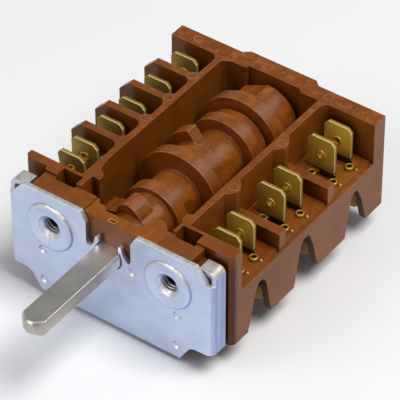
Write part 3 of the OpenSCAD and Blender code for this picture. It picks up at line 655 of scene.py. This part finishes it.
class SwitchColours(bpy.types.PropertyGroup):
    """Colours of the switch's finishes."""

    housing: colour_choice("Housing", "Brown thermoset of the housing", (0.19, 0.054, 0.006))
    insert: colour_choice("Insert", "Moulding of the front bearing", (0.225, 0.064, 0.005))
    drum: colour_choice("Drum", "Moulding of the cam drum", (0.2, 0.056, 0.004))
    cover: colour_choice("Cover", "Moulding that closes the underside", (0.14, 0.042, 0.008))
    zinc: colour_choice("Plate", "Zinc plating of the mounting plate", (0.56, 0.62, 0.78))
    shaft: colour_choice("Shaft", "Steel of the shaft", (0.46, 0.44, 0.4))
    brass: colour_choice("Tabs", "Brass of the terminals", (0.66, 0.46, 0.07))
    bronze: colour_choice("Leaves", "Bronze of the contact leaves", (0.62, 0.35, 0.14))
    silver: colour_choice("Contacts", "Silver of the contacts", (0.82, 0.81, 0.78))
    floor: colour_choice("Floor", "Pale floor under the switch", (0.82, 0.83, 0.85))


class SwitchSizes(bpy.types.PropertyGroup):
    """Sizes of the small details."""

    moulded_edge: length_choice("Moulded edge", "Rounding of the housing's edges", 0.00018)
    sheet_edge: length_choice("Sheet edge", "Rounding of the plate's edges", 0.00016)
    shaft_edge: length_choice("Shaft edge", "Rounding of the shaft's edges", 0.00028)
    tab_edge: length_choice("Tab edge", "Rounding of the tabs' edges", 0.0001)
    thread_pitch: length_choice("Thread pitch", "Pitch of the threads in the collars", 0.0007)
    hole_rim: length_choice("Hole rim", "Radius of the rim round a tab's hole", 0.0011)


def chosen(name):
    """One of the colours that the user can change."""
    return tuple(getattr(bpy.context.scene.switch_colours, name))


def sizes():
    """The sizes that the user can change."""
    return bpy.context.scene.switch_sizes


# OPERATORS


class SwitchOperator(bpy.types.Operator):
    """Base of the operators that make the switch's pieces"""

    bl_options = {"REGISTER", "UNDO"}

    def execute(self, context):
        self.make()
        return {"FINISHED"}


class SWITCH_OT_stage(SwitchOperator):
    """Make the floor, the lamps, the world and the camera"""

    bl_idname = "switch.stage"
    bl_label = "Stage"

    def make(self):
        scene = bpy.context.scene
        scene.view_settings.view_transform = "Standard"
        self.floor(scene)
        self.world(scene)
        self.lamps(scene)
        self.camera(scene)

    def floor(self, scene):
        data = bpy.data.meshes.new("floor")
        near, far = -FLOOR_HALF, FLOOR_HALF
        corners = [(near, near), (far, near), (far, far), (near, far)]
        data.from_pydata([(x, y, FLOOR_Z) for x, y in corners], [], [(0, 1, 2, 3)])
        data.materials.append(floor_finish("pale_floor", chosen("floor")))
        floor = bpy.data.objects.new("floor", data)
        scene.collection.objects.link(floor)

    def world(self, scene):
        scene.world = bpy.data.worlds.new("pale_studio")
        g = Graph(scene.world)
        path = g.add("ShaderNodeLightPath")
        seen = path.out("Is Camera Ray").math("MAXIMUM", path.out("Is Glossy Ray"))
        light, shown = (
            g.add("ShaderNodeBackground", {}, {"Color": colour, "Strength": strength}).out()
            for colour, strength in (WORLD_LIGHT, WORLD_SEEN)
        )
        mixed = g.add("ShaderNodeMixShader", {}, {0: seen, 1: light, 2: shown}).out()
        g.add("ShaderNodeOutputWorld", {}, {"Surface": mixed})

    def lamps(self, scene):
        for name, place, side, power, colour, lights in LAMPS:
            light = bpy.data.lights.new(name, "AREA")
            light.shape, light.size, light.energy, light.color = "SQUARE", side, power, colour
            lamp = bpy.data.objects.new(name, light)
            scene.collection.objects.link(lamp)
            lamp.visible_diffuse = lights
            lamp.location = place
            turn = (LAMP_AIM - Vector(place)).to_track_quat("-Z", "Y")
            lamp.rotation_euler = turn.to_euler()

    def camera(self, scene):
        sin_a, cos_a = math.sin(CAMERA_AZIMUTH), math.cos(CAMERA_AZIMUTH)
        sin_e, cos_e = math.sin(CAMERA_ELEVATION), math.cos(CAMERA_ELEVATION)
        back = Vector((sin_a * cos_e, -cos_a * cos_e, sin_e))
        right = Vector((cos_a, sin_a, 0))
        turn = Matrix((right, back.cross(right), back)).transposed().to_4x4()
        data = bpy.data.cameras.new("camera")
        data.lens, data.sensor_width, data.sensor_fit = CAMERA_LENS, SENSOR_WIDTH, "HORIZONTAL"
        data.clip_start, data.clip_end = 0.01, 20
        camera = bpy.data.objects.new("camera", data)
        scene.collection.objects.link(camera)
        camera.matrix_world = Matrix.Translation(CAMERA_PLACE) @ turn
        scene.camera = camera


class SWITCH_OT_mouldings(SwitchOperator):
    """Finish the housing, the front bearing and the base cover, and add the mould's marks"""

    bl_idname = "switch.mouldings"
    bl_label = "Mouldings"

    def make(self):
        edge = sizes().moulded_edge
        fine = edge / 12
        for node, colour, gloss, seed in MOULDINGS:
            dress([node], moulded(f"{colour}_thermoset", chosen(colour), gloss, edge, seed))
        pale = scaled(lighter(chosen("housing"), 0.09), 1.1, 0.9, 0.7)
        # the pip frame's bright colour is a painted highlight, its dark slot painted shade
        bright, dark = scaled(chosen("insert"), 2.4, 3.4, 9.0), scaled(chosen("insert"), 0.4)
        flash = moulded("flash_thermoset", pale, 0.16, fine, 5.0)
        self.ejector_marks(flash)
        self.burrs(flash)
        self.pip_frame(moulded("pip_thermoset", bright, 0.14, fine, 8.0))
        self.pip_slot(moulded("pip_shadow", dark, 0.3, edge / 2, 9.0))

    def ejector_marks(self, brown):
        """Low rings that the mould's ejector pins left on the top edges."""
        mesh = bmesh.new()
        top = top_of("housing")
        for x, y, radius in EJECTOR_MARKS:
            section = [(radius + r, h) for r, h in EJECTOR_SECTION]
            turned(mesh, mm(x, y, top), UP, section, steps=40)
        as_object("ejector_marks", mesh, "base", brown)

    def burrs(self, brown):
        """Grains of flash along the top of the walls beside the drum."""
        random.seed(BURR_SEED)
        mesh = bmesh.new()
        top = top_of("housing")
        for x, y, spread, count in BURR_PATCHES:
            for _ in range(count):
                radius = random.uniform(*BURR_RADII)
                across = x + random.uniform(-BURR_HALF_WIDTH, BURR_HALF_WIDTH)
                along = y + random.uniform(-spread, spread)
                dome(mesh, mm(across, along, top), radius, radius * BURR_HEIGHT, steps=10, rows=3)
        as_object("wall_burrs", mesh, "base", brown)

    def pip_frame(self, brown):
        """A small raised frame on the front bearing, in a bright colour that is a painted highlight."""
        mesh = bmesh.new()
        top = top_of("front_bearing")
        loft(mesh, [rectangle(sides, top + height) for sides, height in PIP_LEVELS])
        rounding = PIP_ROUNDING * MM
        bmesh.ops.bevel(mesh, geom=mesh.edges[:], offset=rounding, segments=2, affect="EDGES")
        as_object("insert_pip", mesh, "base", brown)

    def pip_slot(self, dark):
        """A dark floor inside the small frame, which is painted shade."""
        mesh = bmesh.new()
        top = top_of("front_bearing")
        loft(mesh, [rectangle(PIP_INNER, top + height) for height in PIP_SLOT_LEVELS])
        as_object("insert_pip_slot", mesh, "base", dark)


class SWITCH_OT_drum(SwitchOperator):
    """Finish the cam drum"""

    bl_idname = "switch.drum"
    bl_label = "Cam drum"

    def make(self):
        edge = sizes().moulded_edge * 1.4
        brown = moulded("drum_thermoset", chosen("drum"), 0.2, edge, 37.0, 0.34, 0.6, 0.35)
        dress(["cam_drum"], brown)


class SWITCH_OT_plate(SwitchOperator):
    """Finish the mounting plate, with the beads of its bosses and the threads of its collars"""

    bl_idname = "switch.plate"
    bl_label = "Mounting plate"

    def make(self):
        zinc = zinc_sheet("zinc_plating", chosen("zinc"), sizes().sheet_edge)
        dress(["mounting_plate"], zinc)
        self.threads(zinc)
        self.beads(zinc)

    def threads(self, zinc):
        """A ridge wound inside each collar, which runs out at both ends."""
        mesh = bmesh.new()
        pitch = sizes().thread_pitch / MM
        foot, depth = THREAD_ROOT + THREAD_SUNK, THREAD_ROOT - THREAD_CREST
        for side in (-1, 1):
            rings = []
            for i in range(int(THREAD_TURNS * THREAD_STEPS) + 1):
                turn = i / THREAD_STEPS
                angle = 2 * math.pi * turn
                grow = min(1, turn * THREAD_RUN_OUT, (THREAD_TURNS - turn) * THREAD_RUN_OUT)
                tip = THREAD_ROOT + THREAD_SUNK / 2 - depth * max(grow, 0.02)
                ring = []
                for r, shift in (
                    (foot, -THREAD_FOOT_HALF), (tip, -THREAD_CREST_HALF),
                    (tip, THREAD_CREST_HALF), (foot, THREAD_FOOT_HALF),
                ):
                    x, z = side * SCREW_X + r * math.cos(angle), r * math.sin(angle)
                    ring.append(mm(x, THREAD_START + turn * pitch + shift, z))
                rings.append(ring)
            loft(mesh, rings)
        as_object("screw_threads", mesh, "base", zinc, smooth=25)

    def beads(self, zinc):
        """The drawn step round each boss, a rounded bead with a sharp foot."""
        mesh = bmesh.new()
        section = [(BEAD_R + r, h) for r, h in BEAD_SECTION]
        for side in (-1, 1):
            turned(mesh, mm(side * SCREW_X, 0, 0), (0, -1, 0), section, steps=72)
        as_object("boss_beads", mesh, "base", zinc, smooth=40)


class SWITCH_OT_shaft(SwitchOperator):
    """Finish the shaft, the detent plunger and its spring"""

    bl_idname = "switch.shaft"
    bl_label = "Shaft"

    def make(self):
        base = chosen("shaft")
        pin, wire = lighter(base, 0.1), scaled(base, 0.8)
        dress(["shaft"], drawn_bar("drawn_steel", base, sizes().shaft_edge, bright=0.8))
        dress(["detent_plunger"], drawn_bar("ground_pin", pin, PIN_EDGE, 0.2, (0.05, 0.05, 1)))
        dress(["detent_spring"], drawn_bar("spring_wire", wire, WIRE_EDGE, 0.3, (1, 1, 1)))


class SWITCH_OT_terminals(SwitchOperator):
    """Finish the tab terminals, with the rims of their holes and the eyelets at their feet"""

    bl_idname = "switch.terminals"
    bl_label = "Terminals"

    def make(self):
        base = chosen("brass")
        edge = sizes().tab_edge
        sheared = scaled(lighter(base, 0.25), 0.85, 0.76, 0.55)
        olive, yellow = scaled(base, 0.78, 0.66, 0.5), scaled(base, 1.0, 0.86, 0.5)
        formed = rolled_brass("formed_brass", olive, edge * 0.8, 0.6, 90.0, crease_shade=0.85)
        drawn = rolled_brass("drawn_brass", yellow, edge * 0.8, 0.3, 93.0)
        random.seed(TAB_SEED)
        for side, row, tabs in TAB_ROWS:
            for i, (y, drop, lean, reach, bright) in enumerate(tabs):
                lean = math.radians(lean)
                # painted light and shade per tab, with a random spread of tone
                shine = bright * (0.9 + 0.2 * random.random())
                tarnish = 0.35 + 0.5 * random.random()
                tone = scaled(base, shine, shine * 0.99, shine * 0.9)
                tab = f"{side}_{i + 1}"
                brass = rolled_brass(
                    f"brass_{tab}", tone, edge, tarnish, 10.0 * i,
                    sheared=sheared, front=(y + math.tan(lean) * TAB_ROOT) * MM, lean=lean,
                )
                dress([f"terminal_{tab}"], brass)
                self.rim(f"hole_rim_{tab}", row, y, HOLE_Z - drop, lean, drawn)
                if reach:
                    self.feet(f"foot_eyelets_{i + 1}", y - reach, formed)

    def rim(self, name, row, y, z, lean, brass):
        """A drawn rim round a tab's hole, raised on the front and flatter on the back."""
        mesh = bmesh.new()
        front = y - math.tan(lean) * (z - TAB_ROOT)
        normal = Vector((0, -math.cos(lean), -math.sin(lean)))
        outer = sizes().hole_rim / MM
        for side, face, rise in ((1, front, RIM_FRONT), (-1, front + TAB_THICKNESS, RIM_BACK)):
            inside = [(0.66, -0.42), (0.58, -0.42), (0.6, -0.06), (0.68, rise * 0.6)]
            outside = [(0.82, rise), (outer - 0.06, rise), (outer, rise * 0.6), (outer, -0.08)]
            turned(mesh, mm(row, face, z), normal * side, inside + outside, steps=36)
        as_object(name, mesh, "base", brass, smooth=50)

    def feet(self, name, y, brass):
        """Two tubular eyelets and two pips that hold a terminal down in its pocket."""
        mesh = bmesh.new()
        for x, pip_x, shift in EYELETS:
            turned(mesh, mm(x, y, FLOOR_TOP), UP, EYELET_SECTION, steps=32)
            place = mm(pip_x, y + shift, FLOOR_TOP)
            dome(mesh, place, PIP_RADIUS, PIP_HEIGHT, steps=20, rows=5)
        as_object(name, mesh, "base", brass, smooth=45)


class SWITCH_OT_contacts(SwitchOperator):
    """Finish the contact leaves and the silver contacts"""

    bl_idname = "switch.contacts"
    bl_label = "Contacts"

    def make(self):
        bronze = rolled_brass("leaf_bronze", chosen("bronze"), LEAF_EDGE, 0.3, 71.0)
        dress(numbered("contact_spring"), bronze)
        pressed = silver("contact_silver", chosen("silver"))
        dress(numbered("spring_contact") + numbered("fixed_contact"), pressed)


OPERATORS = (
    SWITCH_OT_stage,
    SWITCH_OT_mouldings,
    SWITCH_OT_drum,
    SWITCH_OT_plate,
    SWITCH_OT_shaft,
    SWITCH_OT_terminals,
    SWITCH_OT_contacts,
)


class SWITCH_PT_panel(bpy.types.Panel):
    """The switch's pieces in the sidebar"""

    bl_idname = "SWITCH_PT_panel"
    bl_label = "Oven selector switch"
    bl_space_type = "VIEW_3D"
    bl_region_type = "UI"
    bl_category = "Switch"

    def draw(self, context):
        for group in (context.scene.switch_colours, context.scene.switch_sizes):
            for key in group.__annotations__:
                self.layout.prop(group, key)
        for operator in OPERATORS:
            self.layout.operator(operator.bl_idname)


CLASSES = (SwitchColours, SwitchSizes) + OPERATORS + (SWITCH_PT_panel,)


def register():
    for cls in CLASSES:
        bpy.utils.register_class(cls)
    bpy.types.Scene.switch_colours = bpy.props.PointerProperty(type=SwitchColours)
    bpy.types.Scene.switch_sizes = bpy.props.PointerProperty(type=SwitchSizes)


def unregister():
    del bpy.types.Scene.switch_sizes
    del bpy.types.Scene.switch_colours
    for cls in reversed(CLASSES):
        bpy.utils.unregister_class(cls)


def main():
    """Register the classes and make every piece."""
    register()
    for operator in OPERATORS:
        group, name = operator.bl_idname.split(".")
        getattr(getattr(bpy.ops, group), name)()


if __name__ == "__main__":
    main()
